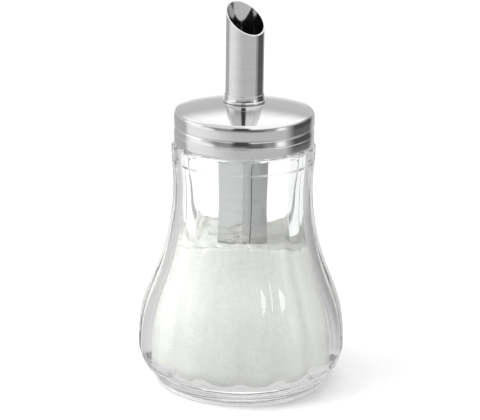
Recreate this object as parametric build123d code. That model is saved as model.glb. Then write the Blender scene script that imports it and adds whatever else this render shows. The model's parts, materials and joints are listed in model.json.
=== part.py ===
from build123d import *
from math import acos, cos, degrees, pi, radians, sin, sqrt
import os

# Glass sugar dispenser: a fluted pear-shaped jar, a domed steel screw cap with a
# pouring tube through its centre, and the sugar fill. Millimetres, +Z up. The
# origin is the centre of the jar's foot, on the surface that the jar stands on.

# ---------------------------------------------------------------- jar
JAR_HEIGHT = 98.5          # foot to the cap's lower edge when the cap is closed
BELLY_R = 41.5             # over the flute crests at the belly
BELLY_Z = 15.5             # height of the widest ring
WAIST_R = 27.5             # over the flute crests at the waist
WAIST_Z = 82.0             # height of the waist
SHOULDER_R = 28.6          # over the flute crests under the cap
FLUTES = 18                # convex flutes round the jar
FLUTE_DEPTH = 1.07         # crest to valley at the belly
FOOT_INSET = 6.5           # plain foot ring inside the belly's crests
FOOT_H = 5.0               # height of the plain ring
FOOT_RING_W = 6.0          # width of the ring that the jar stands on
FOOT_RECESS_H = 1.6        # height of the hollow under the jar
WALL = 3.3                 # glass under the crests
FLOOR_Z = 8.4              # inside floor above the foot
FLOOR_ROUND = 5.0          # rounding of the inside floor into the wall

# ---------------------------------------------------------------- neck thread
NECK_R = 24.0              # root of the thread on the neck
NECK_WALL = 3.0            # glass between the thread's root and the mouth's bore
NECK_TAPER = 3.0           # inside shoulder starts this far below the cap's lower edge
NECK_STEP = 3.4            # a bigger step inwards starts lower, so the glass stays thick
NECK_H = 9.0               # rim above the cap's lower edge
THREAD_PITCH = 3.0
THREAD_DEPTH = 1.0         # height of the thread on the neck
THREAD_ROOT_W = 1.5        # width of a thread at its root
THREAD_TIP_W = 0.8         # width of a thread at its tip
NECK_TURNS = 1.8           # turns of thread on the neck
NECK_THREAD_Z = 2.2        # start of the neck thread above the cap's lower edge
INSERT_TURNS = 1.0         # turns of thread in the cap
INSERT_THREAD_Z = 1.45     # start of the cap thread above the cap's lower edge
THREAD_RUN = 0.3           # radial gap between the mating threads

# ---------------------------------------------------------------- cap
CAP_R = 27.6               # outside of the skirt
SKIRT_H = 9.65             # straight part of the skirt
LEAN_ARC = 6.0             # first, gentle arc above the skirt
LEAN_TURN = 14.0           # degrees from upright where the gentle arc ends
SHOULDER_ARC = 2.07        # tight rounding above the gentle arc
SHOULDER_TURN = 72.6       # degrees from upright where the tight rounding ends
RISE_ARC = 51.0            # radius of the ring that rises from the shoulder to the dome
RISE_TURN = 79.0           # degrees from upright where the dome starts
SHELL_T = 0.75             # sheet of the shell
SKIRT_T = 1.0              # wall of the skirt, over its rolled relief
BAND_TOP_Z = 3.5           # top of the plain lower band above the cap's lower edge
BAND_CROWN = 0.03          # bulge of the plain band
CREASE_DEPTH = 0.15        # crease over the plain band
CREASE_H = 0.4             # height of the crease
LEDGE_H = 1.9              # gently leaning part of the rolled ledge over the crease
LEDGE_TILT = 8.0           # lean of the ledge at its foot, degrees
LEDGE_TURN = 16.0          # lean of the ledge where it turns in, degrees
ROLL_H = 0.55              # height of the ledge's turned-in top
ROLL_TURN = 38.0           # lean at the ledge's top, degrees
GROOVE_FLOOR = 0.15        # height of the groove's floor
GROOVE_LIP_H = 0.35        # height of the groove's upper lip
INSERT_GAP = 0.02          # between the insert and the shell
INSERT_FOOT = 0.7          # insert's lower edge above the cap's lower edge
ROOF_T = 1.1               # flange of the insert over the seal
ROOF_LAP = 1.3             # insert's flange reaches in past the seal ring
SEAL_T = 1.2               # thickness of the seal ring
SEAL_LAP = 1.2             # seal ring reaches in past the mouth's bore
SEAL_GAP = 0.25            # between the seal ring and the insert's wall

# ---------------------------------------------------------------- spout tube
TUBE_R = 7.5               # outside of the tube
TUBE_T = 0.5               # sheet of the tube
TUBE_HIGH = 53.6           # high side of the slanted mouth above the cap's lower edge
TUBE_LOW = 42.4            # low side of the slanted mouth above the cap's lower edge
TUBE_FLOOR_GAP = 9.0       # lower end of the tube above the jar's inside floor
SEAM_DIR = -54.0           # heading of the seam and of the mouth's low side
SEAM_W = 0.12              # butt seam of the rolled sheet
TUBE_FIT = 0.03            # between the tube and what it is pressed into
FERRULE_H = 3.1            # flared ring at the foot of the tube
FERRULE_TOP_T = 0.25       # ring's wall at its top
FERRULE_FOOT_T = 0.6       # ring's wall at its foot
BEAD_R = 0.38              # bead round the foot of the ferrule
LOCK_W = 3.5               # width of the lock ring under the dome
LOCK_T = 1.6

# ---------------------------------------------------------------- sugar
SUGAR_Z = 58.2             # level of the sugar above the foot
SUGAR_GAP = 0.25           # between the sugar and the wall of the jar
SUGAR_LIFT = 0.1           # between the sugar and the jar's floor
SLOT_GAP = 0.3             # round the tube where it stands in the sugar
SLOT_DEPTH = 0.5           # below the tube's lower end

# ---------------------------------------------------------------- sizes that follow
FOOT_R = BELLY_R - FOOT_INSET
FOOT_RECESS_R = FOOT_R - FOOT_RING_W
MOUTH_R = NECK_R - NECK_WALL
SEAL_IN_R = MOUTH_R - SEAL_LAP
ROOF_BORE_R = SEAL_IN_R - ROOF_LAP
FERRULE_TOP_R = TUBE_R + FERRULE_TOP_T
FERRULE_FOOT_R = TUBE_R + FERRULE_FOOT_T
LOCK_R = TUBE_R + LOCK_W

OUT = "parts"
os.makedirs(OUT, exist_ok=True)


def crest_profile():
    """Points (radius, height) over the flute crests, foot to shoulder."""
    drop = WAIST_Z - BELLY_Z
    span = BELLY_R - WAIST_R
    shares = ((0.11, 0.975), (0.23, 0.885), (0.345, 0.715), (0.47, 0.475), (0.60, 0.265))
    rows = [(BELLY_R - 0.9, BELLY_Z - 12.5), (BELLY_R - 0.1, BELLY_Z - 6.0), (BELLY_R, BELLY_Z)]
    rows += [(WAIST_R + share * span, BELLY_Z + at * drop) for at, share in shares]
    rows += [(WAIST_R + 0.115 * span, BELLY_Z + 0.735 * drop)]
    rows += [(WAIST_R + 0.02 * span, BELLY_Z + 0.875 * drop), (WAIST_R, WAIST_Z)]
    rise = SHOULDER_R - WAIST_R
    rows += [(WAIST_R + 0.5 * rise, WAIST_Z + 0.5 * (JAR_HEIGHT - WAIST_Z))]
    rows += [(SHOULDER_R, JAR_HEIGHT + 1.0)]
    return rows


def bore_edges(offset, lift):
    """Edges of the jar's inside from the floor to above the rim.

    The wall is moved inwards by offset and everything is raised by lift. The
    wall follows the crests one wall thickness inside them up to the waist, and
    an S-shaped shoulder brings it in to the mouth.
    """
    wall = [(r - WALL - offset, z + lift) for r, z in crest_profile()[2:-3]]
    waist = (WAIST_R - WALL - offset, WAIST_Z + lift)
    step_in = WAIST_R - WALL - MOUTH_R
    drop = NECK_TAPER + 1.6 * max(0, step_in - NECK_STEP)
    bend = (waist[0], max(WAIST_Z + 0.5, JAR_HEIGHT - drop) + lift)
    mouth = (MOUTH_R - offset, JAR_HEIGHT + 1.5 + lift)
    floor_z = FLOOR_Z + lift
    floor_edge = (wall[0][0] - FLOOR_ROUND, floor_z)
    over = JAR_HEIGHT + NECK_H + 1.0
    return [
        Line(xz(0, floor_z), xz(*floor_edge)),
        Spline(
            xz(*floor_edge),
            *[xz(r, z) for r, z in wall],
            xz(*waist),
            tangents=((1, 0, 0), (0, 0, 1)),
        ),
        Line(xz(*waist), xz(*bend)),
        Spline(xz(*bend), xz(*mouth), tangents=((0, 0, 1), (0, 0, 1))),
        Line(xz(*mouth), xz(mouth[0], over)),
        Line(xz(mouth[0], over), xz(0, over)),
        Line(xz(0, over), xz(0, floor_z)),
    ]


def flute_section(crest, height):
    """One closed ring of convex arcs at a height."""
    depth = FLUTE_DEPTH * crest / BELLY_R
    step = 2 * pi / FLUTES
    edges = []
    for i in range(FLUTES):
        a0 = -pi / 2 + i * step
        points = []
        for angle, radius in ((a0, crest - depth), (a0 + step / 2, crest), (a0 + step, crest - depth)):
            points.append((radius * cos(angle), radius * sin(angle), height))
        edges.append(ThreePointArc(*points))
    return Face(Wire(edges))


def thread(root_r, tip_r, start_z, turns, start_angle):
    """A single right-hand thread standing out from root_r to tip_r."""
    sign = 1.0 if tip_r > root_r else -1.0
    bite = root_r - sign * 0.35
    path = Helix(THREAD_PITCH, THREAD_PITCH * turns, bite, center=(0, 0, start_z))
    slope = (THREAD_ROOT_W - THREAD_TIP_W) / 2 / abs(tip_r - root_r)
    root_w = THREAD_ROOT_W / 2 + 0.35 * slope
    tip_w = THREAD_TIP_W / 2
    corners = [
        (bite, 0, start_z - root_w),
        (tip_r, 0, start_z - tip_w),
        (tip_r, 0, start_z + tip_w),
        (bite, 0, start_z + root_w),
    ]
    section = Face(Wire(Polyline(*corners, close=True).edges()))
    ridge = sweep(section, path=path, is_frenet=True)
    return ridge.rotate(Axis.Z, start_angle)


def turned(*edges):
    """Solid of revolution about Z from edges drawn on the XZ plane."""
    return revolve(Face(Wire(list(edges))), Axis.Z, 360)


def xz(r, z):
    return (r, 0, z)


def polygon(*points):
    """Closed run of straight edges on the XZ plane."""
    pts = [xz(r, z) for r, z in points]
    return Polyline(*pts, close=True).edges()


# ---------------------------------------------------------------- glass jar
rings = [flute_section(r, z) for r, z in crest_profile()]
fluted = loft(rings)

# The flutes run out in arches where this rounded outline cuts across them.
shoulder_z = JAR_HEIGHT - 0.6
big = BELLY_R + 3.0
outline = turned(
    Line(xz(0, FOOT_H - 0.6), xz(FOOT_R + 0.6, FOOT_H - 0.6)),
    Spline(
        xz(FOOT_R + 0.6, FOOT_H - 0.6),
        xz(BELLY_R - 2.9, FOOT_H + 2.0),
        xz(BELLY_R - 0.9, FOOT_H + 5.7),
        xz(big, BELLY_Z + 6.5),
    ),
    Line(xz(big, BELLY_Z + 6.5), xz(big, WAIST_Z)),
    Line(xz(big, WAIST_Z), xz(SHOULDER_R + 0.55, JAR_HEIGHT - 6.5)),
    Spline(
        xz(SHOULDER_R + 0.55, JAR_HEIGHT - 6.5),
        xz(SHOULDER_R - 0.1, JAR_HEIGHT - 2.6),
        xz(SHOULDER_R - 2.2, shoulder_z),
        tangents=((-0.02, 0, 1), (-1, 0, 0.12)),
    ),
    Line(xz(SHOULDER_R - 2.2, shoulder_z), xz(0, shoulder_z)),
    Line(xz(0, shoulder_z), xz(0, FOOT_H - 0.6)),
)
body = fluted & outline

rim_z = JAR_HEIGHT + NECK_H
foot_round = 1.4
foot = turned(
    *polygon(
        (0, 0),
        (FOOT_R - foot_round, 0),
        (FOOT_R - 0.4 * foot_round, 0.3 * foot_round),
        (FOOT_R, foot_round),
        (FOOT_R, FOOT_H),
        (0, FOOT_H),
    )
)
neck = turned(
    *polygon(
        (0, shoulder_z - 2.0),
        (NECK_R, shoulder_z - 2.0),
        (NECK_R, rim_z - 0.5),
        (NECK_R - 0.5, rim_z),
        (0, rim_z),
    )
)
neck_ridge = thread(NECK_R, NECK_R + THREAD_DEPTH, JAR_HEIGHT + NECK_THREAD_Z, NECK_TURNS, 0)

cavity = turned(*bore_edges(0, 0))
recess_r = (FOOT_RECESS_R**2 + FOOT_RECESS_H**2) / (2 * FOOT_RECESS_H)
recess_mid = FOOT_RECESS_R / 2
recess_mid_z = FOOT_RECESS_H - recess_r + sqrt(recess_r**2 - recess_mid**2)
recess = turned(
    Line(xz(0, -1), xz(FOOT_RECESS_R, -1)),
    Line(xz(FOOT_RECESS_R, -1), xz(FOOT_RECESS_R, 0)),
    ThreePointArc(xz(FOOT_RECESS_R, 0), xz(recess_mid, recess_mid_z), xz(0, FOOT_RECESS_H)),
    Line(xz(0, FOOT_RECESS_H), xz(0, -1)),
)
glass_jar = body + foot + neck + neck_ridge - cavity - recess

# ---------------------------------------------------------------- cap shell
def lean(start, radius, low, high):
    """Centre of an arc from a point whose normal stands low degrees up, and its end."""
    centre = (start[0] - radius * cos(radians(low)), start[1] - radius * sin(radians(low)))
    end = (centre[0] + radius * cos(radians(high)), centre[1] + radius * sin(radians(high)))
    return centre, end


def dome_arcs():
    """Centre, radius and turns of the four tangent arcs from the skirt to the axis."""
    side, end = lean((CAP_R, JAR_HEIGHT + SKIRT_H), LEAN_ARC, 0, LEAN_TURN)
    shoulder, end = lean(end, SHOULDER_ARC, LEAN_TURN, SHOULDER_TURN)
    rise, end = lean(end, RISE_ARC, SHOULDER_TURN, RISE_TURN)
    dome_r = end[0] / cos(radians(RISE_TURN))
    dome = (0, end[1] - dome_r * sin(radians(RISE_TURN)))
    return [
        (side, LEAN_ARC, 0, LEAN_TURN),
        (shoulder, SHOULDER_ARC, LEAN_TURN, SHOULDER_TURN),
        (rise, RISE_ARC, SHOULDER_TURN, RISE_TURN),
        (dome, dome_r, RISE_TURN, 90),
    ]


def dome_z(r, skin=0.0):
    """Height of the top at radius r, skin millimetres under its outside."""
    side, shoulder, rise, dome = dome_arcs()
    centre, radius, low, high = rise if r > dome[1] * cos(radians(RISE_TURN)) else dome
    return centre[1] + sqrt((radius - skin) ** 2 - (r - centre[0]) ** 2)


def arc_edge(centre, radius, low, high):
    """Arc between two elevations in degrees."""
    ends = [
        xz(centre[0] + radius * cos(radians(at)), centre[1] + radius * sin(radians(at)))
        for at in (low, (low + high) / 2, high)
    ]
    return ThreePointArc(*ends)


def dome_edges(skin, bore):
    """Arcs from the skirt in to the bore, skin millimetres under the outside."""
    arcs = [(centre, radius - skin, low, high) for centre, radius, low, high in dome_arcs()]
    centre, radius, low, high = arcs[-1]
    arcs[-1] = (centre, radius, low, degrees(acos(bore / radius)))
    return [arc_edge(*arc) for arc in arcs]


def ledge_arc(start, height, low, high):
    """Arc of a given height from one lean to another, and its end."""
    radius = height / (sin(radians(high)) - sin(radians(low)))
    centre, end = lean(start, radius, low, high)
    return arc_edge(centre, radius, low, high), end


skin_r = CAP_R - SKIRT_T
hole_r = TUBE_R + TUBE_FIT
skirt_top = JAR_HEIGHT + SKIRT_H
lip = CAP_R - 0.4
band_r = CAP_R - BAND_CROWN
band_top = JAR_HEIGHT + BAND_TOP_Z
crease_end = (band_r, band_top + CREASE_H)
ledge_low, ledge_mid = ledge_arc(crease_end, LEDGE_H, LEDGE_TILT, LEDGE_TURN)
ledge_high, ledge_end = ledge_arc(ledge_mid, ROLL_H, LEDGE_TURN, ROLL_TURN)
groove_z = ledge_end[1] + GROOVE_FLOOR
lip_z = groove_z + GROOVE_LIP_H
inner_dome = dome_edges(SHELL_T, hole_r)
outer_dome = dome_edges(0, hole_r)
cap_shell = turned(
    Line(xz(skin_r, JAR_HEIGHT), xz(lip, JAR_HEIGHT)),
    Line(xz(lip, JAR_HEIGHT), xz(band_r, JAR_HEIGHT + 0.3)),
    ThreePointArc(
        xz(band_r, JAR_HEIGHT + 0.3), xz(CAP_R, JAR_HEIGHT + (0.3 + BAND_TOP_Z) / 2), xz(band_r, band_top)
    ),
    Line(xz(band_r, band_top), xz(band_r - CREASE_DEPTH, band_top + CREASE_H / 2)),
    Line(xz(band_r - CREASE_DEPTH, band_top + CREASE_H / 2), xz(*crease_end)),
    ledge_low,
    ledge_high,
    Line(xz(*ledge_end), xz(ledge_end[0], groove_z)),
    Line(xz(ledge_end[0], groove_z), xz(CAP_R - 0.1, lip_z)),
    Line(xz(CAP_R - 0.1, lip_z), xz(CAP_R, lip_z + 0.2)),
    Line(xz(CAP_R, lip_z + 0.2), xz(CAP_R, skirt_top)),
    *outer_dome,
    Line(xz(hole_r, dome_z(hole_r)), xz(hole_r, dome_z(hole_r, SHELL_T))),
    *inner_dome,
    Line(xz(CAP_R - SHELL_T, skirt_top), xz(skin_r, skirt_top - SKIRT_T + SHELL_T)),
    Line(xz(skin_r, skirt_top - SKIRT_T + SHELL_T), xz(skin_r, JAR_HEIGHT)),
)

# ---------------------------------------------------------------- threaded insert
bore_r = NECK_R + THREAD_DEPTH + THREAD_RUN
insert_r = skin_r - INSERT_GAP
seal_low = rim_z
seal_top = seal_low + SEAL_T
roof_top = seal_top + ROOF_T
roof_cut = insert_r - (roof_top - skirt_top) * 0.55
insert_body = turned(
    *polygon(
        (bore_r, JAR_HEIGHT + INSERT_FOOT),
        (insert_r, JAR_HEIGHT + INSERT_FOOT),
        (insert_r, skirt_top),
        (roof_cut, roof_top),
        (ROOF_BORE_R, roof_top),
        (ROOF_BORE_R, seal_top),
        (bore_r, seal_top),
    )
)
lag = NECK_THREAD_Z - INSERT_THREAD_Z - THREAD_PITCH / 2
insert_angle = -360 * lag / THREAD_PITCH
insert_ridge = thread(
    bore_r, NECK_R + THREAD_RUN, JAR_HEIGHT + INSERT_THREAD_Z, INSERT_TURNS, insert_angle
)
thread_insert = insert_body + insert_ridge

# ---------------------------------------------------------------- seal ring
seal_ring = turned(
    *polygon(
        (SEAL_IN_R, seal_low),
        (bore_r - SEAL_GAP, seal_low),
        (bore_r - SEAL_GAP, seal_top),
        (SEAL_IN_R, seal_top),
    )
)

# ---------------------------------------------------------------- spout tube
tube_low_z = FLOOR_Z + TUBE_FLOOR_GAP
tube_top_z = JAR_HEIGHT + TUBE_HIGH
tube_in = TUBE_R - TUBE_T
tube_pipe = turned(
    *polygon(
        (tube_in, tube_low_z),
        (TUBE_R, tube_low_z),
        (TUBE_R, tube_top_z + 5),
        (tube_in, tube_top_z + 5),
    )
)
slant = degrees(acos(2 * TUBE_R / sqrt((2 * TUBE_R) ** 2 + (TUBE_HIGH - TUBE_LOW) ** 2)))
mouth_z = JAR_HEIGHT + (TUBE_HIGH + TUBE_LOW) / 2
cutter = Pos(0, 0, mouth_z) * Rot(0, slant, 0) * Pos(0, 0, 20) * Box(80, 80, 40)
tube_cut = tube_pipe - cutter
seam = Pos(TUBE_R, 0, mouth_z / 2) * Box(4 * TUBE_T, SEAM_W, 2 * mouth_z)
spout_tube = (tube_cut - seam).rotate(Axis.Z, SEAM_DIR)

# ---------------------------------------------------------------- ferrule and lock ring
bead_z = dome_z(FERRULE_FOOT_R) + BEAD_R + 0.04
ferrule_body = turned(
    *polygon(
        (hole_r, bead_z - 0.3),
        (FERRULE_FOOT_R, bead_z - 0.3),
        (FERRULE_FOOT_R, bead_z + 0.2),
        (FERRULE_TOP_R + 0.12, bead_z + 0.45 * FERRULE_H),
        (FERRULE_TOP_R, bead_z + FERRULE_H - BEAD_R),
        (hole_r, bead_z + FERRULE_H - BEAD_R),
    )
)
bead = Pos(0, 0, bead_z) * Torus(FERRULE_FOOT_R - 0.15, BEAD_R)
inner_plug = Pos(0, 0, bead_z) * Cylinder(hole_r, 4 * BEAD_R)
foot_ferrule = ferrule_body + (bead - inner_plug)

lock_top = dome_z(LOCK_R, SHELL_T) - 0.02
lock_ring = turned(
    *polygon(
        (hole_r, lock_top - LOCK_T),
        (LOCK_R - 0.4, lock_top - LOCK_T),
        (LOCK_R, lock_top - LOCK_T + 0.4),
        (LOCK_R, lock_top),
        (hole_r, lock_top),
    )
)

# ---------------------------------------------------------------- sugar
sugar_bulk = turned(*bore_edges(SUGAR_GAP, SUGAR_LIFT))
above = Pos(0, 0, SUGAR_Z + 50) * Cylinder(BELLY_R * 2, 100)
slot_low = tube_low_z - SLOT_DEPTH
slot = turned(
    *polygon(
        (tube_in - SLOT_GAP, slot_low),
        (TUBE_R + SLOT_GAP, slot_low),
        (TUBE_R + SLOT_GAP, SUGAR_Z + 5),
        (tube_in - SLOT_GAP, SUGAR_Z + 5),
    )
)
sugar_fill = sugar_bulk - above - slot

# ---------------------------------------------------------------- output
NODES = {
    "glass_jar": glass_jar,
    "sugar_fill": sugar_fill,
    "cap_shell": cap_shell,
    "thread_insert": thread_insert,
    "seal_ring": seal_ring,
    "spout_tube": spout_tube,
    "foot_ferrule": foot_ferrule,
    "lock_ring": lock_ring,
}
for name, shape in NODES.items():
    export_step(shape, os.path.join(OUT, name + ".step"))
    print(name, len(shape.solids()), round(shape.volume, 1), shape.is_valid)
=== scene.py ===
"""Looks of a fluted glass sugar dispenser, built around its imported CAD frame.

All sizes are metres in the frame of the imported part: +Z up, origin at the centre of
the jar's foot. Every new piece is a surface worked out on a grid with numpy.
"""

import json
import logging
import math
from dataclasses import dataclass, field
from enum import Enum

import bpy
import numpy as np
from mathutils import Matrix, Vector

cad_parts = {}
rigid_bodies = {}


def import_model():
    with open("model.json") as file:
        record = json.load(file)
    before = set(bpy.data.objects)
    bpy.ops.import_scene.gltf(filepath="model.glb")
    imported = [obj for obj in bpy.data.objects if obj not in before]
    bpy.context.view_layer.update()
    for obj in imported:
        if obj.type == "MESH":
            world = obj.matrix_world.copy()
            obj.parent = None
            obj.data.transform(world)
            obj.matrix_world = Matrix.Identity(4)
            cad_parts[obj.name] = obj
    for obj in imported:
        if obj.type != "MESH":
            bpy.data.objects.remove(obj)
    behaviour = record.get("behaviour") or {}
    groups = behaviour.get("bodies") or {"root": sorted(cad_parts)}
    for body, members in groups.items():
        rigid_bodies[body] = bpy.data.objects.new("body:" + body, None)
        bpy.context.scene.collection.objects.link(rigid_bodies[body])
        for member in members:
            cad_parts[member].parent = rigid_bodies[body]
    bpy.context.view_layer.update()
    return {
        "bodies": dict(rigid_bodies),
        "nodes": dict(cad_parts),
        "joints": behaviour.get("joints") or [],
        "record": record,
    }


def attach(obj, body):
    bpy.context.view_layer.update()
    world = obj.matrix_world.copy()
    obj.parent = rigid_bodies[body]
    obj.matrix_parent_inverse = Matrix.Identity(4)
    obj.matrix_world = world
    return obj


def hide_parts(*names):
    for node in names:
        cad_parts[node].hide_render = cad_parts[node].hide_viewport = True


LOG = logging.getLogger("sugar_dispenser")
TAU = 2.0 * math.pi
MM = 0.001
JAR_NAME = "fluted_glass_jar"
CAP_EDGE = 98.5 * MM
TUBE_HOLE_R = 7.53 * MM


class Body(Enum):
    """The moving bodies of the part."""

    JAR = "jar"
    SEAL = "seal"
    CAP = "cap"


# ------------------------------------------------------------------ curves and grids


def cubic_through(knots: np.ndarray, values: np.ndarray, at: np.ndarray) -> np.ndarray:
    """Natural cubic spline through the knots, evaluated at new places.

    Each span is a cubic whose second derivative is linear between the knots; the
    second derivatives solve one tridiagonal system and vanish at both ends.

    Args:
        knots: Rising places of the known values.
        values: Known values, one per knot.
        at: Places to evaluate.

    Returns:
        The spline's value at each place.
    """
    count = len(knots)
    gap = np.diff(knots)
    matrix = np.eye(count)
    right = np.zeros(count)
    rows = np.arange(1, count - 1)
    matrix[rows, rows - 1] = gap[:-1]
    matrix[rows, rows] = 2.0 * (gap[:-1] + gap[1:])
    matrix[rows, rows + 1] = gap[1:]
    slope = np.diff(values) / gap
    right[rows] = 6.0 * np.diff(slope)
    bend = np.linalg.solve(matrix, right)
    span = np.clip(np.searchsorted(knots, at) - 1, 0, count - 2)
    left, step = knots[span], gap[span]
    ahead, back = at - left, left + step - at
    cubic = (bend[span] * back**3 + bend[span + 1] * ahead**3) / (6.0 * step)
    first = (values[span] / step - bend[span] * step / 6.0) * back
    second = (values[span + 1] / step - bend[span + 1] * step / 6.0) * ahead
    return cubic + first + second


def smooth_least(a: np.ndarray, b: np.ndarray, round_off: float) -> np.ndarray:
    """The smaller of two fields with a rounded crossing.

    Formula: the mean of both less half the root of their squared difference plus
    the squared rounding.

    Args:
        a: First field.
        b: Second field.
        round_off: Size of the rounding where the fields cross.

    Returns:
        The blended field.
    """
    return 0.5 * (a + b - np.sqrt((a - b) ** 2 + round_off**2))


def arc_points(centre: tuple, radius: float, start: float, end: float, count: int) -> np.ndarray:
    """Points on a circular arc in the radius-height plane.

    Args:
        centre: Radius and height of the arc's centre.
        radius: Radius of the arc.
        start: First angle in degrees, from outwards towards up.
        end: Last angle in degrees.
        count: Number of points.

    Returns:
        An array of radius and height rows.
    """
    angle = np.radians(np.linspace(start, end, count))
    return np.stack([centre[0] + radius * np.cos(angle), centre[1] + radius * np.sin(angle)], 1)


def arc_after(point: tuple, radius: float, low: float, high: float) -> tuple:
    """Centre and end of an arc that starts at a point with a known lean.

    The centre lies one radius behind the point, along the normal that stands low
    degrees above level; the end is one radius out from it at high degrees.

    Args:
        point: Radius and height of the start.
        radius: Radius of the arc.
        low: Elevation of the normal at the start, degrees.
        high: Elevation of the normal at the end, degrees.

    Returns:
        The centre and the end.
    """
    first, last = math.radians(low), math.radians(high)
    centre = (point[0] - radius * math.cos(first), point[1] - radius * math.sin(first))
    return centre, (centre[0] + radius * math.cos(last), centre[1] + radius * math.sin(last))


def line_points(start: tuple, end: tuple, count: int) -> np.ndarray:
    """Evenly spaced points from start to end, both kept."""
    share = np.linspace(0.0, 1.0, count)[:, None]
    return np.asarray(start) * (1.0 - share) + np.asarray(end) * share


def joined(*runs: np.ndarray) -> np.ndarray:
    """One profile from several runs, with repeated points dropped."""
    rows = np.concatenate(runs)
    keep = np.ones(len(rows), bool)
    keep[1:] = np.linalg.norm(np.diff(rows, axis=0), axis=1) > 1e-7
    return rows[keep]


def ring_grid_mesh(
    name: str, radius: np.ndarray, height: np.ndarray, heading: np.ndarray, closed: bool = False
) -> bpy.types.Object:
    """A piece turned about Z from a grid of radii and heights.

    Formula: a point is (radius cos heading, radius sin heading, height), where the
    first index runs along the profile and the second round the axis. The grid closes
    on itself round the axis. Along the profile it closes on itself too, or a fan
    closes each end on the axis.

    Args:
        name: Name of the new object.
        radius: Radii, profile by heading.
        height: Heights, the same shape.
        heading: Angles round the axis in radians.
        closed: True if the profile's last ring joins its first.

    Returns:
        The new object, smooth-shaded, with its place in its mesh.
    """
    rows, cols = radius.shape
    points = np.stack([radius * np.cos(heading), radius * np.sin(heading), height], -1).reshape(-1, 3)
    here = np.arange(rows * cols).reshape(rows, cols)
    if closed:
        here = np.concatenate([here, here[:1]])
    side = np.roll(here, -1, axis=1)
    quads = np.stack([here[:-1], side[:-1], side[1:], here[1:]], -1).reshape(-1, 4)
    faces = quads.tolist()
    if not closed:
        poles = np.array([[0.0, 0.0, height[0].mean()], [0.0, 0.0, height[-1].mean()]])
        points = np.concatenate([points, poles])
        low, high = rows * cols, rows * cols + 1
        faces += np.stack([side[0], here[0], np.full(cols, low)], -1).tolist()
        faces += np.stack([here[-1], side[-1], np.full(cols, high)], -1).tolist()
    return mesh_piece(name, points, faces)


def mesh_piece(name: str, points: np.ndarray, faces: list) -> bpy.types.Object:
    """A smooth-shaded object from points and faces, linked to the scene."""
    mesh = bpy.data.meshes.new(name)
    mesh.from_pydata(points.tolist(), [], faces)
    mesh.polygons.foreach_set("use_smooth", np.ones(len(mesh.polygons), bool))
    mesh.update()
    piece = bpy.data.objects.new(name, mesh)
    bpy.context.scene.collection.objects.link(piece)
    return piece


def even_headings(count: int) -> np.ndarray:
    """Angles round the axis, evenly spaced."""
    return np.linspace(0.0, TAU, count, endpoint=False)


def turned_piece(name: str, profile: np.ndarray, columns: int, closed: bool = True) -> bpy.types.Object:
    """A plain turned piece from a profile of radius and height rows.

    Args:
        name: Name of the new object.
        profile: Radius and height of each ring.
        columns: Steps round the axis.
        closed: True if the profile is a closed outline clear of the axis.

    Returns:
        The new object.
    """
    heading = even_headings(columns)
    radius = np.repeat(profile[:, :1], columns, axis=1)
    height = np.repeat(profile[:, 1:], columns, axis=1)
    return ring_grid_mesh(name, radius, height, heading, closed)


# ------------------------------------------------------------------ shader helpers


class Graph:
    """A short way to add nodes to a tree and join them."""

    def __init__(self, tree: bpy.types.NodeTree) -> None:
        """Keeps the tree and clears it."""
        self.tree = tree
        tree.nodes.clear()

    def node(self, kind: str, **settings: object) -> bpy.types.Node:
        """Adds a node and sets its own settings."""
        made = self.tree.nodes.new(kind)
        for key, value in settings.items():
            setattr(made, key, value)
        return made

    def join(self, source: bpy.types.NodeSocket, target: bpy.types.NodeSocket) -> None:
        """Links one socket to another."""
        self.tree.links.new(source, target)

    def maths(self, operation: str, a: object, b: object = None, clamp: bool = False) -> bpy.types.NodeSocket:
        """A Math node on sockets or numbers.

        Args:
            operation: Blender's name of the operation.
            a: First socket or number.
            b: Second socket or number.
            clamp: True to keep the result from 0 to 1.

        Returns:
            The result's socket.
        """
        made = self.node("ShaderNodeMath", operation=operation, use_clamp=clamp)
        for index, value in enumerate((a, b)):
            if value is None:
                continue
            if isinstance(value, (int, float)):
                made.inputs[index].default_value = value
            else:
                self.join(value, made.inputs[index])
        return made.outputs[0]

    def noise(self, vector: bpy.types.NodeSocket, scale: float, detail: float = 2.0) -> bpy.types.NodeSocket:
        """A noise value that varies over the given vector."""
        made = self.node("ShaderNodeTexNoise")
        made.inputs["Scale"].default_value = scale
        made.inputs["Detail"].default_value = detail
        self.join(vector, made.inputs["Vector"])
        return made.outputs["Fac"]

    def stretched(self, vector: bpy.types.NodeSocket, scale: tuple) -> bpy.types.NodeSocket:
        """The vector multiplied by a scale along each axis."""
        made = self.node("ShaderNodeVectorMath", operation="MULTIPLY")
        self.join(vector, made.inputs[0])
        made.inputs[1].default_value = scale
        return made.outputs[0]

    def ranged(self, value: bpy.types.NodeSocket, low: float, high: float) -> bpy.types.NodeSocket:
        """A value from 0 to 1 moved to the range low to high."""
        made = self.node("ShaderNodeMapRange")
        self.join(value, made.inputs["Value"])
        made.inputs["To Min"].default_value = low
        made.inputs["To Max"].default_value = high
        return made.outputs["Result"]

    def tinted(self, share: bpy.types.NodeSocket, low: tuple, high: tuple) -> bpy.types.NodeSocket:
        """A colour between two colours."""
        made = self.node("ShaderNodeMix", data_type="RGBA")
        self.join(share, made.inputs["Factor"])
        made.inputs["A"].default_value = (*low, 1.0)
        made.inputs["B"].default_value = (*high, 1.0)
        return made.outputs["Result"]

    def bump(self, height: bpy.types.NodeSocket, strength: float, distance: float) -> bpy.types.NodeSocket:
        """A normal from a height."""
        made = self.node("ShaderNodeBump")
        made.inputs["Strength"].default_value = strength
        made.inputs["Distance"].default_value = distance
        self.join(height, made.inputs["Height"])
        return made.outputs["Normal"]


class GroupKind(Enum):
    """Shared effects, each built once."""

    SPUN_POLISH = "spun_polish"
    FINE_GRAIN = "fine_grain"
    PANEL_MASK = "panel_mask"


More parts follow.
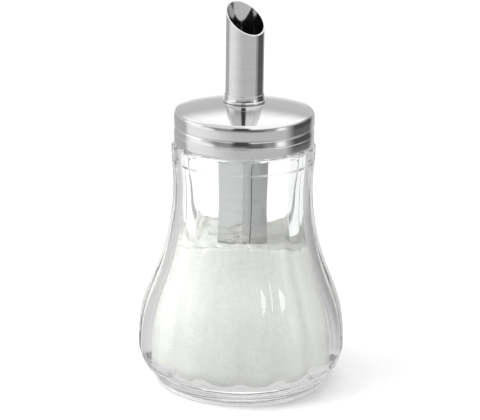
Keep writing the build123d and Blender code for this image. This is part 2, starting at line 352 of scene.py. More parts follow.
def new_group(kind: GroupKind, inputs: dict, outputs: dict) -> Graph:
    """An empty shader group with named sockets.

    Args:
        kind: Which effect it is.
        inputs: Name of each input and its default number.
        outputs: Name of each output and its socket type.

    Returns:
        The group's graph, with its input and output nodes as `source` and `sink`.
    """
    tree = bpy.data.node_groups.new(kind.value, "ShaderNodeTree")
    graph = Graph(tree)
    tree.interface.new_socket("Vector", in_out="INPUT", socket_type="NodeSocketVector")
    for name, default in inputs.items():
        socket = tree.interface.new_socket(name, in_out="INPUT", socket_type="NodeSocketFloat")
        socket.default_value = default
    for name, kind_name in outputs.items():
        tree.interface.new_socket(name, in_out="OUTPUT", socket_type=kind_name)
    graph.source = graph.node("NodeGroupInput")
    graph.sink = graph.node("NodeGroupOutput")
    return graph


def spun_polish_group() -> bpy.types.NodeTree:
    """Faint turned lines and wipe marks on polished metal.

    The distance from the axis and the height, stretched thin, drive a noise for the
    lines; a broad noise adds wipe marks. Outputs a roughness, a shade and a height.
    """
    graph = new_group(
        GroupKind.SPUN_POLISH,
        {"Line Scale": 900.0, "Roughness": 0.12, "Spread": 0.06},
        {"Roughness": "NodeSocketFloat", "Shade": "NodeSocketFloat", "Height": "NodeSocketFloat"},
    )
    vector = graph.source.outputs["Vector"]
    split = graph.node("ShaderNodeSeparateXYZ")
    graph.join(vector, split.inputs[0])
    flat = graph.node("ShaderNodeCombineXYZ")
    graph.join(split.outputs["X"], flat.inputs["X"])
    graph.join(split.outputs["Y"], flat.inputs["Y"])
    length = graph.node("ShaderNodeVectorMath", operation="LENGTH")
    graph.join(flat.outputs[0], length.inputs[0])
    rings = graph.node("ShaderNodeCombineXYZ")
    graph.join(length.outputs["Value"], rings.inputs["X"])
    graph.join(split.outputs["Z"], rings.inputs["Y"])
    lines = graph.node("ShaderNodeTexNoise")
    lines.inputs["Detail"].default_value = 3.0
    graph.join(rings.outputs[0], lines.inputs["Vector"])
    graph.join(graph.source.outputs["Line Scale"], lines.inputs["Scale"])
    wipes = graph.noise(vector, 60.0, 3.0)
    fine = graph.maths("MULTIPLY", lines.outputs["Fac"], 0.6)
    mixed = graph.maths("ADD", fine, graph.maths("MULTIPLY", wipes, 0.4))
    swing = graph.maths("MULTIPLY", graph.maths("SUBTRACT", mixed, 0.5), graph.source.outputs["Spread"])
    graph.join(graph.maths("ADD", graph.source.outputs["Roughness"], swing), graph.sink.inputs["Roughness"])
    graph.join(mixed, graph.sink.inputs["Shade"])
    graph.join(lines.outputs["Fac"], graph.sink.inputs["Height"])
    return graph.tree


def fine_grain_group() -> bpy.types.NodeTree:
    """Two scales of fine grain, for crystals and moulded surfaces.

    A cell pattern gives each grain its own tone and a broad noise makes blotches.
    Outputs the tone, the blotch and a height, each from 0 to 1.
    """
    graph = new_group(
        GroupKind.FINE_GRAIN,
        {"Scale": 1500.0, "Blotch Scale": 60.0},
        {"Tone": "NodeSocketFloat", "Blotch": "NodeSocketFloat", "Height": "NodeSocketFloat"},
    )
    vector = graph.source.outputs["Vector"]
    cells = graph.node("ShaderNodeTexVoronoi")
    graph.join(vector, cells.inputs["Vector"])
    graph.join(graph.source.outputs["Scale"], cells.inputs["Scale"])
    tone = graph.node("ShaderNodeSeparateColor")
    graph.join(cells.outputs["Color"], tone.inputs[0])
    blotch = graph.node("ShaderNodeTexNoise")
    blotch.inputs["Detail"].default_value = 3.0
    graph.join(vector, blotch.inputs["Vector"])
    graph.join(graph.source.outputs["Blotch Scale"], blotch.inputs["Scale"])
    graph.join(tone.outputs[0], graph.sink.inputs["Tone"])
    graph.join(blotch.outputs["Fac"], graph.sink.inputs["Blotch"])
    graph.join(cells.outputs["Distance"], graph.sink.inputs["Height"])
    return graph.tree


@dataclass
class Finish:
    """A material with a graph, its main shader and its output."""

    name: str
    material: bpy.types.Material = field(init=False)
    graph: Graph = field(init=False)
    shader: bpy.types.Node = field(init=False)
    sink: bpy.types.Node = field(init=False)
    place: bpy.types.NodeSocket = field(init=False)

    def __post_init__(self) -> None:
        """Makes the material with one main shader on object coordinates."""
        self.material = bpy.data.materials.new(self.name)
        self.material.use_nodes = True
        self.graph = Graph(self.material.node_tree)
        self.shader = self.graph.node("ShaderNodeBsdfPrincipled")
        self.sink = self.graph.node("ShaderNodeOutputMaterial")
        self.graph.join(self.shader.outputs[0], self.sink.inputs["Surface"])
        self.place = self.graph.node("ShaderNodeTexCoord").outputs["Object"]

    def group(self, tree: bpy.types.NodeTree, **values: float) -> bpy.types.Node:
        """Places a shared group and sets its numbers."""
        made = self.graph.node("ShaderNodeGroup", node_tree=tree)
        self.graph.join(self.place, made.inputs["Vector"])
        for key, value in values.items():
            made.inputs[key.replace("_", " ")].default_value = value
        return made

    def wear(self, piece: bpy.types.Object, slot: str) -> None:
        """Puts the finish on a piece."""
        piece.data.materials.clear()
        piece.data.materials.append(self.material)


@dataclass(frozen=True)
class SteelLook:
    """Numbers of one polished steel finish."""

    dark: tuple
    light: tuple
    roughness: float
    spread: float
    line_scale: float
    bump: float

    def make(self, name: str, polish: bpy.types.NodeTree) -> Finish:
        """Builds the finish with faint spun lines in its colour and roughness."""
        finish = Finish(name)
        graph, shader = finish.graph, finish.shader
        spun = finish.group(polish, Line_Scale=self.line_scale, Roughness=self.roughness, Spread=self.spread)
        shader.inputs["Metallic"].default_value = 1.0
        graph.join(graph.tinted(spun.outputs["Shade"], self.dark, self.light), shader.inputs["Base Color"])
        graph.join(spun.outputs["Roughness"], shader.inputs["Roughness"])
        graph.join(graph.bump(spun.outputs["Height"], self.bump, 0.00001), shader.inputs["Normal"])
        return finish


@dataclass(frozen=True)
class ClearGlass:
    """Clear moulded glass, with faint ripples from the mould."""

    tint: tuple = (0.945, 0.955, 0.952)
    index: float = 1.5

    def make(self, name: str) -> Finish:
        """Builds the glass; shadows pass through it, so its contents stay lit."""
        finish = Finish(name)
        graph, shader = finish.graph, finish.shader
        shader.inputs["Transmission Weight"].default_value = 1.0
        shader.inputs["Metallic"].default_value = 0.0
        shader.inputs["IOR"].default_value = self.index
        ripple = graph.noise(finish.place, 45.0, 1.0)
        tint_low = tuple(0.99 * part for part in self.tint)
        graph.join(graph.tinted(ripple, tint_low, self.tint), shader.inputs["Base Color"])
        shader.inputs["Roughness"].default_value = 0.0
        graph.join(graph.bump(ripple, 0.12, 0.0006), shader.inputs["Normal"])
        clear = graph.node("ShaderNodeBsdfTransparent")
        path = graph.node("ShaderNodeLightPath")
        mix = graph.node("ShaderNodeMixShader")
        graph.join(path.outputs["Is Shadow Ray"], mix.inputs[0])
        graph.join(shader.outputs[0], mix.inputs[1])
        graph.join(clear.outputs[0], mix.inputs[2])
        graph.join(mix.outputs[0], finish.sink.inputs["Surface"])
        return finish


@dataclass(frozen=True)
class SugarLook:
    """White sugar crystals: a bright matt body with grain."""

    shade: tuple = (0.60, 0.605, 0.575)
    light: tuple = (0.72, 0.72, 0.69)

    def make(self, name: str, grain: bpy.types.NodeTree) -> Finish:
        """Builds the sugar with crystals of their own tone."""
        finish = Finish(name)
        graph, shader = finish.graph, finish.shader
        crystals = finish.group(grain, Scale=1700.0, Blotch_Scale=70.0)
        mixed = graph.maths(
            "ADD",
            graph.maths("MULTIPLY", crystals.outputs["Tone"], 0.55),
            graph.maths("MULTIPLY", crystals.outputs["Blotch"], 0.45),
        )
        graph.join(graph.tinted(mixed, self.shade, self.light), shader.inputs["Base Color"])
        graph.join(graph.ranged(crystals.outputs["Tone"], 0.45, 0.95), shader.inputs["Roughness"])
        graph.join(graph.bump(crystals.outputs["Height"], 0.5, 0.0003), shader.inputs["Normal"])
        shader.inputs["Specular IOR Level"].default_value = 0.35
        return finish


@dataclass(frozen=True)
class MouldedLook:
    """Moulded plastic or rubber with a fine matt grain."""

    dark: tuple
    light: tuple
    roughness: float

    def make(self, name: str, grain: bpy.types.NodeTree) -> Finish:
        """Builds the moulded finish."""
        finish = Finish(name)
        graph, shader = finish.graph, finish.shader
        fine = finish.group(grain, Scale=3000.0, Blotch_Scale=90.0)
        graph.join(graph.tinted(fine.outputs["Blotch"], self.dark, self.light), shader.inputs["Base Color"])
        rough = graph.ranged(fine.outputs["Tone"], self.roughness - 0.06, self.roughness + 0.06)
        graph.join(rough, shader.inputs["Roughness"])
        graph.join(graph.bump(fine.outputs["Height"], 0.15, 0.00005), shader.inputs["Normal"])
        return finish


# ------------------------------------------------------------------ the jar


@dataclass
class FlutedJar:
    """The glass jar: convex flutes on a pear shape, a plain foot and a threaded neck."""

    edge_z: float = CAP_EDGE
    belly_r: float = 41.5 * MM
    belly_z: float = 15.5 * MM
    waist_r: float = 27.5 * MM
    waist_z: float = 82.0 * MM
    shoulder_r: float = 28.6 * MM
    flutes: int = 18
    flute_depth: float = 1.07 * MM
    foot_r: float = 35.0 * MM
    foot_h: float = 5.0 * MM
    recess_r: float = 29.0 * MM
    recess_h: float = 1.6 * MM
    wall: float = 3.3 * MM
    floor_z: float = 8.4 * MM
    floor_round: float = 5.0 * MM
    neck_taper: float = 3.0 * MM
    neck_step: float = 3.4 * MM
    mouth_r: float = 21.0 * MM
    neck_r: float = 24.0 * MM
    neck_h: float = 9.0 * MM
    pitch: float = 3.0 * MM
    thread_depth: float = 1.0 * MM
    thread_root: float = 1.5 * MM
    thread_tip: float = 0.8 * MM
    thread_start: float = 2.2 * MM
    thread_turns: float = 1.8
    steps_per_flute: int = 16

    def crest_knots(self) -> np.ndarray:
        """Radius and height rows that the crests of the flutes run through."""
        drop = self.waist_z - self.belly_z
        span = self.belly_r - self.waist_r
        up = np.array([0.11, 0.23, 0.345, 0.47, 0.60, 0.735, 0.875])
        out = np.array([0.975, 0.885, 0.715, 0.475, 0.265, 0.115, 0.02])
        middle = np.stack([self.waist_r + out * span, self.belly_z + up * drop], 1)
        rise = self.shoulder_r - self.waist_r
        low = [
            [self.belly_r - 0.9 * MM, self.belly_z - 12.5 * MM],
            [self.belly_r - 0.1 * MM, self.belly_z - 6.0 * MM],
            [self.belly_r, self.belly_z],
        ]
        high = [
            [self.waist_r, self.waist_z],
            [self.waist_r + 0.5 * rise, self.waist_z + 0.5 * (self.edge_z - self.waist_z)],
            [self.shoulder_r, self.edge_z + 1.0 * MM],
        ]
        return np.concatenate([low, middle, high])

    def crest_r(self, height: np.ndarray) -> np.ndarray:
        """Crest radius at each height, on a cubic through the knots."""
        rows = self.crest_knots()
        return np.minimum(cubic_through(rows[:, 1], rows[:, 0], height), self.belly_r)

    def headings(self) -> np.ndarray:
        """Angles round the jar, closer together in the valleys between the flutes.

        Within one flute the share s runs evenly from 0 to 1 and the angle is
        s - 0.11 sin(2 pi s), in flutes, which crowds the columns at both valleys.
        """
        share = np.linspace(0.0, 1.0, self.steps_per_flute, endpoint=False)
        eased = share - 0.11 * np.sin(TAU * share)
        whole = (np.arange(self.flutes)[:, None] + eased[None, :]).ravel()
        return -math.pi / 2 + whole * TAU / self.flutes

    def flute_radius(self, crest: np.ndarray, heading: np.ndarray) -> np.ndarray:
        """Radius over the flutes for a crest radius and a heading.

        Each flute is a circular arc through a valley, a crest and the next valley.
        With crest radius c, valley radius v, half a flute h: the arc's centre lies on
        the crest's heading at distance m = (c^2 - v^2) / (2 (c - v cos h)), its radius
        is c - m, and at a turn u from the crest the surface is at
        m cos u + sqrt((c - m)^2 - (m sin u)^2).

        Args:
            crest: Crest radius, any shape.
            heading: Angle in radians, the same shape or one that spreads to it.

        Returns:
            The radius of the fluted surface.
        """
        valley = crest - self.flute_depth * crest / self.belly_r
        half = math.pi / self.flutes
        turn = np.mod(heading + math.pi / 2, 2 * half) - half
        centre = (crest**2 - valley**2) / (2.0 * (crest - valley * math.cos(half)))
        arc = crest - centre
        return centre * np.cos(turn) + np.sqrt(arc**2 - (centre * np.sin(turn)) ** 2)

    def side_path(self) -> np.ndarray:
        """Rounded outline that ends the flutes, from the foot to the neck."""
        bottom = self.foot_h - 0.6 * MM
        top = self.edge_z - 0.6 * MM
        knots = np.array(
            [
                [self.foot_r + 0.6 * MM, bottom],
                [self.belly_r - 2.9 * MM, self.foot_h + 2.0 * MM],
                [self.belly_r - 0.9 * MM, self.foot_h + 5.7 * MM],
                [self.belly_r + 3.0 * MM, self.belly_z + 6.5 * MM],
            ]
        )
        along = np.concatenate([[0.0], np.cumsum(np.linalg.norm(np.diff(knots, axis=0), axis=1))])
        at = np.linspace(0.0, along[-1], 34)
        low = np.stack([cubic_through(along, knots[:, 0], at), cubic_through(along, knots[:, 1], at)], 1)
        wide = self.belly_r + 3.0 * MM
        straight_end = self.edge_z - 6.5 * MM
        middle = np.stack([np.full(82, wide), np.linspace(low[-1, 1], straight_end, 82)], 1)
        angle = np.radians(np.linspace(0.0, 90.0, 26))
        corner = np.stack(
            [
                self.shoulder_r - 2.2 * MM + 2.75 * MM * np.cos(angle) ** 0.75,
                straight_end + 5.9 * MM * np.sin(angle) ** 0.9,
            ],
            1,
        )
        corner[0, 0] = self.shoulder_r + 0.55 * MM
        deck = line_points((self.shoulder_r - 2.2 * MM, top), (self.neck_r + 0.35 * MM, top), 6)
        return joined(low, middle, corner, deck)

    def outside(self, heading: np.ndarray) -> tuple:
        """Radii and heights of the outer wall, foot to rim.

        The wall is the smaller of the fluted pear and the rounded outline; the neck
        carries one right-hand thread, whose ridge is a trapezoid of the distance from
        the helix z = start + pitch * turn.

        Args:
            heading: Angles round the jar.

        Returns:
            Radius and height grids.
        """
        bevel = 1.4 * MM
        foot = joined(
            line_points((self.recess_r, 0.0), (self.foot_r - bevel, 0.0), 5),
            arc_points((self.foot_r - bevel, bevel), bevel, -90.0, 0.0, 8),
            line_points((self.foot_r, bevel), (self.foot_r, self.foot_h - 1.1 * MM), 4),
            np.array([[self.foot_r + 0.12 * MM, self.foot_h - 0.8 * MM]]),
        )
        side = self.side_path()
        foot_radius = np.repeat(foot[:, :1], len(heading), axis=1)
        limit = side[:, :1]
        flute = self.flute_radius(self.crest_r(side[:, 1])[:, None], heading[None, :])
        side_radius = smooth_least(flute, np.broadcast_to(limit, flute.shape), 0.35 * MM)
        side_radius = np.minimum(side_radius, flute)
        side_radius[-6:] = limit[-6:]
        rim = self.edge_z + self.neck_h
        neck_z = np.linspace(self.edge_z - 0.55 * MM, rim - 0.6 * MM, 42)
        centre = self.edge_z + self.thread_start
        turns = np.mod(heading, TAU) / TAU
        nearest = np.round((neck_z[:, None] - centre) / self.pitch - turns[None, :])
        place = np.clip(nearest + turns[None, :], 0.0, self.thread_turns)
        away = np.abs(neck_z[:, None] - centre - self.pitch * place)
        in_range = (nearest + turns[None, :] >= -0.001) & (nearest + turns[None, :] <= self.thread_turns)
        slope = (self.thread_root - self.thread_tip) / 2.0
        ridge = np.clip((self.thread_root / 2.0 - away) / slope, 0.0, 1.0) * in_range
        neck_radius = self.neck_r + self.thread_depth * ridge
        lip = joined(
            arc_points((self.neck_r - 0.5 * MM, rim - 0.5 * MM), 0.5 * MM, 0.0, 90.0, 6),
            arc_points((self.mouth_r + 0.4 * MM, rim - 0.4 * MM), 0.4 * MM, 90.0, 180.0, 5),
        )
        lip_radius = np.repeat(lip[:, :1], len(heading), axis=1)
        radius = np.concatenate([foot_radius, side_radius, neck_radius, lip_radius])
        height = np.concatenate([foot[:, 1], side[:, 1], neck_z, lip[:, 1]])
        return radius, np.repeat(height[:, None], len(heading), axis=1)

    def bore_profile(self, offset: float = 0.0, lift: float = 0.0) -> np.ndarray:
        """Radius and height rows of the inside, from the mouth down to the floor.

        Args:
            offset: How far the wall is moved inwards.
            lift: How far everything is raised.

        Returns:
            The profile's rows.
        """
        knots = self.crest_knots()[2:-2]
        wall_z = knots[:, 1] + lift
        wall_r = knots[:, 0] - self.wall - offset
        waist = self.waist_r - self.wall - offset
        step_in = self.waist_r - self.wall - self.mouth_r
        drop = self.neck_taper + 1.6 * max(0.0, step_in - self.neck_step)
        bend_z = max(self.waist_z + 0.5 * MM, self.edge_z - drop) + lift
        mouth = (self.mouth_r - offset, self.edge_z + 1.5 * MM + lift)
        share = np.linspace(1.0, 0.0, 16)
        ease = share * share * (3.0 - 2.0 * share)
        taper = np.stack([waist + (mouth[0] - waist) * ease, bend_z + (mouth[1] - bend_z) * share], 1)
        at = np.linspace(self.waist_z + lift, wall_z[0], 56)
        upright = line_points((waist, bend_z), (waist, self.waist_z + lift), 8)
        wall = np.stack([cubic_through(wall_z, wall_r, at), at], 1)
        depth = wall_z[0] - (self.floor_z + lift)
        angle = np.radians(np.linspace(0.0, 90.0, 14))
        corner_r = wall_r[0] - self.floor_round + self.floor_round * np.cos(angle)
        corner = np.stack([corner_r, wall_z[0] - depth * np.sin(angle)], 1)
        return joined(taper, upright, wall, corner)

    def inside(self, heading: np.ndarray) -> tuple:
        """Radii and heights of the inner wall, from the mouth to the floor's centre."""
        profile = self.bore_profile()
        neck = line_points((self.mouth_r, self.edge_z + self.neck_h - 0.5 * MM), tuple(profile[0]), 8)
        floor = line_points(tuple(profile[-1]), (2.0 * MM, self.floor_z), 8)
        rows = joined(neck, profile, floor)
        return np.repeat(rows[:, :1], len(heading), axis=1), np.repeat(rows[:, 1:], len(heading), axis=1)

    def recess(self, heading: np.ndarray) -> tuple:
        """Radii and heights of the hollow under the foot, centre to ring.

        The hollow is a spherical cap: height falls with the square of the radius.
        """
        share = np.linspace(0.07, 1.0, 10)
        radius = self.recess_r * share
        height = self.recess_h * (1.0 - share**2)
        columns = len(heading)
        return np.repeat(radius[:, None], columns, axis=1), np.repeat(height[:, None], columns, axis=1)

    def build(self) -> bpy.types.Object:
        """Builds the jar as one closed skin."""
        heading = self.headings()
        parts = [self.recess(heading), self.outside(heading), self.inside(heading)]
        radius = np.concatenate([part[0] for part in parts])
        height = np.concatenate([part[1] for part in parts])
        return ring_grid_mesh(JAR_NAME, radius, height, heading)


# ------------------------------------------------------------------ sugar


@dataclass
class SugarFill:
    """Granulated sugar that fills the jar to an uneven level round the tube."""

    jar: FlutedJar
    level: float = 58.2 * MM
    gap: float = 0.25 * MM
    lift: float = 0.1 * MM
    tube_out: float = 7.5 * MM
    tube_in: float = 7.0 * MM
    clearance: float = 0.12 * MM
    wall_r: float = 28.0 * MM
    front_heap: float = 5.9 * MM
    back_heap: float = 3.2 * MM
    sink: float = 0.9 * MM
    slot_drop: float = 3.5 * MM
    bend_z: float = 40.0 * MM
    slot_floor: float = 16.9 * MM
    columns: int = 240

    def surface(self, x: np.ndarray, y: np.ndarray) -> np.ndarray:
        """Height of the sugar's top: heaps at two walls plus seeded waves.

        With y as a share of the wall radius, the front heap grows with its square and
        the back heap with its power of 1.5, more on the left than on the right.

        Args:
            x: Places across the jar.
            y: Places along the jar.

        Returns:
            Heights of the top.
        """
        source = np.random.default_rng(7)
        total = np.zeros_like(x)
        for reach, tall in ((24.0, 0.55), (9.0, 0.42), (3.6, 0.22), (1.5, 0.12), (0.7, 0.05)):
            wave = TAU / (reach * MM)
            turn = source.uniform(0.0, TAU, 6)
            phase = source.uniform(0.0, TAU, 6)
            for heading, start in zip(turn, phase):
                along = x * math.cos(heading) + y * math.sin(heading)
                total += tall * MM / 3.0 * np.sin(wave * along + start)
        front = self.front_heap * np.maximum(-y / self.wall_r, 0.0) ** 2
        back = self.back_heap * np.maximum(y / self.wall_r, 0.0) ** 1.5 * (1.0 - 0.35 * x / self.wall_r)
        return self.level - self.sink + front + back + total

    def build(self) -> bpy.types.Object:
        """Builds the outer fill, with the tube's slot, and the column in the tube."""
        bore = self.jar.bore_profile(self.gap, self.lift)[::-1]
        wall = bore[bore[:, 1] < self.level]
        hole = self.tube_out + self.clearance
        inner = self.tube_in - self.clearance
        plug_floor = line_points((1.5 * MM, wall[0, 1]), tuple(wall[0]), 10)
        profile = joined(plug_floor, wall)
        heading = even_headings(self.columns)
        edge_z = self.surface(self.wall_r * np.cos(heading), self.wall_r * np.sin(heading))
        edge_r = np.interp(edge_z, bore[:, 1], bore[:, 0])
        stretch = (edge_z - self.bend_z) / (profile[-1, 1] - self.bend_z)
        above = np.maximum(profile[:, 1:] - self.bend_z, 0.0)
        wall_height = np.minimum(profile[:, 1:], self.bend_z) + above * stretch
        wall_radius = np.where(above > 0.0, np.interp(wall_height, bore[:, 1], bore[:, 0]), profile[:, :1])
        share = np.linspace(0.0, 1.0, 60)[:, None]
        top_radius = edge_r * (1.0 - share) + hole * share
        top_height = self.surface(top_radius * np.cos(heading), top_radius * np.sin(heading))
        slot = joined(
            line_points((hole, self.level - self.slot_drop), (hole, self.slot_floor), 6),
            line_points((hole, self.slot_floor), (inner, self.slot_floor), 3),
            line_points((inner, self.slot_floor), (inner, self.level - self.slot_drop), 6),
        )
        core_r = np.linspace(inner, 0.4 * MM, 10)
        core_radius = np.repeat(core_r[:, None], self.columns, axis=1)
        core_height = self.surface(core_radius * np.cos(heading), core_radius * np.sin(heading))
        parts_r = [
            wall_radius,
            top_radius,
            np.repeat(slot[:, :1], self.columns, axis=1),
            core_radius,
        ]
        parts_z = [
            wall_height,
            top_height,
            np.repeat(slot[:, 1:], self.columns, axis=1),
            core_height,
        ]
        return ring_grid_mesh("granulated_sugar", np.concatenate(parts_r), np.concatenate(parts_z), heading)


# ------------------------------------------------------------------ the cap


@dataclass(frozen=True)
class Bend:
    """One arc of a profile: its radius and the leans of its two ends, in degrees."""

    radius: float
    low: float
    high: float


@dataclass
class DomedCap:
    """The polished shell: a plain band, a rolled ledge, a groove, a shoulder and a dome."""

    edge_z: float = CAP_EDGE
    outside_r: float = 27.6 * MM
    skirt_h: float = 9.65 * MM
    sheet: float = 0.75 * MM
    skirt_wall: float = 1.0 * MM
    band_top: float = 3.5 * MM
    crown: float = 0.03 * MM
    crease_depth: float = 0.15 * MM
    crease_h: float = 0.4 * MM
    hole_r: float = TUBE_HOLE_R
    columns: int = 256
    bends: tuple = (
        Bend(6.0 * MM, 0.0, 14.0),
        Bend(2.07 * MM, 14.0, 72.6),
        Bend(51.0 * MM, 72.6, 79.0),
    )
    ledge: tuple = ((1.9 * MM, 8.0, 16.0), (0.55 * MM, 16.0, 38.0))
    groove_floor: float = 0.15 * MM
    groove_lip: float = 0.35 * MM

    def arcs(self) -> list:
        """Centre, radius and leans of the tangent arcs from the skirt to the axis.

        Each arc starts where the last one ended, with the same normal, so its centre
        lies on that normal; the dome's centre lies on the axis.
        """
        point = (self.outside_r, self.edge_z + self.skirt_h)
        rows = []
        for bend in self.bends:
            centre, point = arc_after(point, bend.radius, bend.low, bend.high)
            rows.append((centre, bend.radius, bend.low, bend.high))
        last = math.radians(self.bends[-1].high)
        dome_r = point[0] / math.cos(last)
        rows.append(((0.0, point[1] - dome_r * math.sin(last)), dome_r, self.bends[-1].high, 90.0))
        return rows

    def dome(self, skin: float, count: int) -> np.ndarray:
        """Rows from the skirt's top to the hole, skin deep under the outside."""
        runs = []
        for centre, radius, low, high in self.arcs():
            if high == 90.0:
                high = math.degrees(math.acos(self.hole_r / (radius - skin)))
            runs.append(arc_points(centre, radius - skin, low, high, count))
        return joined(*runs)

    def dome_z(self, radius: float) -> float:
        """Height of the dome's outside at a radius near the axis."""
        centre, dome_r = self.arcs()[-1][:2]
        return centre[1] + math.sqrt(dome_r**2 - radius**2)

    def skirt(self) -> np.ndarray:
        """Rows of the skirt's outside from the lower edge to the straight upper band.

        The lower band bulges by its crown, then come a small crease, a ledge of two
        arcs that lean further and further in, a groove and its upper lip.
        """
        band_r = self.outside_r - self.crown
        share = np.linspace(-1.0, 1.0, 12)
        low, high = self.edge_z + 0.3 * MM, self.edge_z + self.band_top
        band_z = (low + high) / 2 + (high - low) / 2 * share
        band = np.stack([self.outside_r - self.crown * share**2, band_z], 1)
        turn = np.linspace(0.0, TAU, 11)[1:]
        dip = self.crease_depth * 0.5 * (1.0 - np.cos(turn))
        crease = np.stack([band_r - dip, high + self.crease_h * turn / TAU], 1)
        point = (band_r, high + self.crease_h)
        runs = [band, crease]
        for height, start, end in self.ledge:
            radius = height / (math.sin(math.radians(end)) - math.sin(math.radians(start)))
            centre, point = arc_after(point, radius, start, end)
            runs.append(arc_points(centre, radius, start, end, 12))
        floor_z = point[1] + self.groove_floor
        lip_z = floor_z + self.groove_lip
        top = (self.outside_r, self.edge_z + self.skirt_h)
        lip = (self.outside_r - 0.1 * MM, lip_z)
        runs.append(np.array([[point[0] - 0.02 * MM, point[1] + 0.5 * self.groove_floor], [point[0], floor_z]]))
        runs.append(line_points((point[0] + 0.05 * MM, floor_z + 0.02 * MM), lip, 5))
        runs.append(arc_points((self.outside_r - 0.2 * MM, lip_z + 0.2 * MM), 0.2 * MM, -60.0, 0.0, 5))
        runs.append(line_points((self.outside_r, lip_z + 0.25 * MM), top, 8))
        return joined(*runs)

    def build(self) -> bpy.types.Object:
        """Builds the shell as one closed skin."""
        skin_r = self.outside_r - self.skirt_wall
        top = self.edge_z + self.skirt_h
        outside = joined(
            line_points((skin_r, self.edge_z), (self.outside_r - 0.4 * MM, self.edge_z), 3),
            arc_points((self.outside_r - 0.33 * MM, self.edge_z + 0.3 * MM), 0.3 * MM, -90.0, 0.0, 5)[:-1],
            self.skirt(),
            self.dome(0.0, 26),
        )
        inside = joined(
            self.dome(self.sheet, 14)[::-1],
            line_points((skin_r, top - self.skirt_wall + self.sheet), (skin_r, self.edge_z), 8)[:-1],
        )
        return turned_piece("domed_cap_shell", joined(outside, inside), self.columns)


@dataclass
class FootFerrule:
    """Flared ring with a bead that seats the tube on the dome."""

    cap: DomedCap
    bore_r: float = TUBE_HOLE_R
    foot_r: float = 8.1 * MM
    top_r: float = 7.75 * MM
    height: float = 3.1 * MM
    bead: float = 0.38 * MM

    def build(self) -> bpy.types.Object:
        """Builds the ferrule: a bead below, then a flare that eases into the tube."""
        base = self.cap.dome_z(self.foot_r) + self.bead + 0.04 * MM
        share = np.linspace(0.0, 1.0, 18)
        low = base + 0.2 * MM
        top = base + self.height - self.bead
        spread = self.foot_r - 0.05 * MM - self.top_r
        flare = np.stack([self.top_r + spread * (1.0 - share) ** 2.2, low + (top - low) * share], 1)
        bead = arc_points((self.foot_r - 0.15 * MM, base), self.bead, -100.0, 62.0, 16)
        outline = joined(
            np.array([[self.bore_r, base - 0.35 * MM]]),
            bead,
            flare[2:],
            np.array([[self.bore_r, top], [self.bore_r, low]]),
        )
        return turned_piece("tube_foot_ferrule", outline, 192)


@dataclass
class PouringTube:
    """Rolled steel tube with a slanted mouth and a butt seam down its low side."""

    outer: float = 7.5 * MM
    sheet: float = 0.5 * MM
    low_z: float = 17.4 * MM
    mouth_high: float = CAP_EDGE + 53.6 * MM
    mouth_low: float = CAP_EDGE + 42.4 * MM
    seam_heading: float = math.radians(-54.0)
    seam_gap: float = 0.12 * MM
    columns: int = 240
    rows: int = 60

    def build(self) -> bpy.types.Object:
        """Builds the tube as one bent sheet.

        The sheet's section is an arc that stops half the gap short of the seam on
        both sides. Its top follows z = middle - half the fall times cos(turn from the
        seam), the plane of the slanted cut at the wall's own radius.
        """
        half = self.seam_gap / 2.0 / self.outer
        turn = np.linspace(half, TAU - half, self.columns)
        share = np.linspace(0.0, 1.0, self.rows)
        middle = (self.mouth_high + self.mouth_low) / 2.0
        fall = (self.mouth_high - self.mouth_low) / 2.0
        skins = []
        for radius in (self.outer, self.outer - self.sheet):
            top = middle - fall * np.cos(turn) * radius / self.outer
            height = self.low_z + (top - self.low_z)[None, :] * share[:, None]
            angle = np.broadcast_to(turn + self.seam_heading, height.shape)
            skins.append(np.stack([radius * np.cos(angle), radius * np.sin(angle), height], -1))
        points = np.concatenate(skins).reshape(-1, 3)
        count = self.rows * self.columns
        here = np.arange(count).reshape(self.rows, self.columns)
        quads = [np.stack([here[:-1, :-1], here[:-1, 1:], here[1:, 1:], here[1:, :-1]], -1).reshape(-1, 4)]
        quads.append(quads[0][:, ::-1] + count)
        loop = np.concatenate([here[0], here[1:, -1], here[-1, -2::-1], here[-2:0:-1, 0]])
        after = np.roll(loop, -1)
        quads.append(np.stack([after, loop, loop + count, after + count], -1))
        piece = mesh_piece("slanted_pouring_tube", points, np.concatenate(quads).tolist())
        mark_sharp(piece, 40.0)
        return piece


def mark_sharp(piece: bpy.types.Object, degrees: float) -> None:
    """Keeps edges sharper than an angle crisp, and the rest smooth."""
    piece.data.set_sharp_from_angle(angle=math.radians(degrees))


# ------------------------------------------------------------------ studio


@dataclass(frozen=True)
class Patch:
    """A soft-edged patch of the surround: a softbox, a bright wall or a dark one.

    Headings and elevations are degrees; heading 0 is behind the object, 90 its right.
    """

    heading: float
    elevation: float
    half_width: float
    half_height: float
    edge: float
    glow: float


@dataclass(frozen=True)
class Softbox:
    """An area light: place and size in metres, power in watts.

    One for highlights lights the glass only and shows in it; the other lights all
    and shows in nothing.
    """

    name: str
    centre: tuple
    size: tuple
    power: float
    highlights: bool


